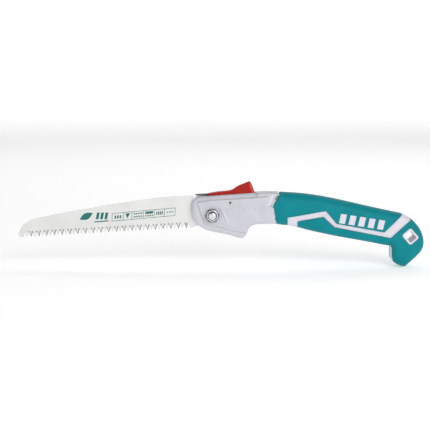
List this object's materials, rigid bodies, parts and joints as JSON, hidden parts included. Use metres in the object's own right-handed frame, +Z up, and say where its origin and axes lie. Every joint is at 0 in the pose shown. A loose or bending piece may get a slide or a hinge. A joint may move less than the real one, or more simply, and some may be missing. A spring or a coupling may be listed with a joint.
{
  "type": "folding pruning saw",
  "caption": "Folding pruning saw with a toothed plated blade, a two-part handle with soft grips, a thumb lock and a lanyard hole.",
  "frame": {"origin": "bottom centre of the opened saw's bounding box: below its mid length, level with the hook's lowest point, on the blade's mid plane", "axes": "+X towards the hook, -X towards the blade's nose, +Z up, teeth facing down, -Y the near side with the pivot nut"},
  "size_m": [0.4153, 0.0316, 0.0875],
  "materials": {
    "plated_steel": "satin",
    "bright_zinc": "bright",
    "hard_steel": "satin",
    "spring_steel": "bright",
    "slide_plastic": "matte",
    "silver_plastic": "satin",
    "pale_plastic": "satin",
    "teal_rubber": "matte",
    "red_plastic": "satin",
    "dark_screw": "satin",
    "brass_insert": "bright"
  },
  "bodies": {
    "handle": {"pivot_screw": "bright_zinc", "pivot_nut": "bright_zinc", "pivot_bush": "hard_steel", "near_pivot_washer": "slide_plastic", "far_pivot_washer": "slide_plastic", "head_washer": "bright_zinc", "near_shell": "silver_plastic", "far_shell": "silver_plastic", "near_upper_grip": "teal_rubber", "near_lower_grip": "teal_rubber", "far_upper_grip": "teal_rubber", "far_lower_grip": "teal_rubber", "lanyard_eyelet": "pale_plastic", "lever_pin": "bright_zinc", "lever_spring": "spring_steel", "shell_screws": "dark_screw", "shell_inserts": "brass_insert"},
    "blade": {"blade": "plated_steel"},
    "lock": {"lock_lever": "hard_steel", "thumb_cap": "red_plastic"}
  },
  "joints": [
    {"name": "blade_fold", "type": "hinge", "parent": "handle", "child": "blade", "pos_m": [-0.0087, 0, 0.0539], "axis": [0, -1, 0], "range_deg": [0, 165]},
    {"name": "lock_press", "type": "hinge", "parent": "handle", "child": "lock", "pos_m": [0.00935, 0, 0.06665], "axis": [0, 1, 0], "range_deg": [-3, 4], "stiffness_Nm_per_rad": 0.4, "springref_deg": -3, "deforming": ["lever_spring"]}
  ]
}
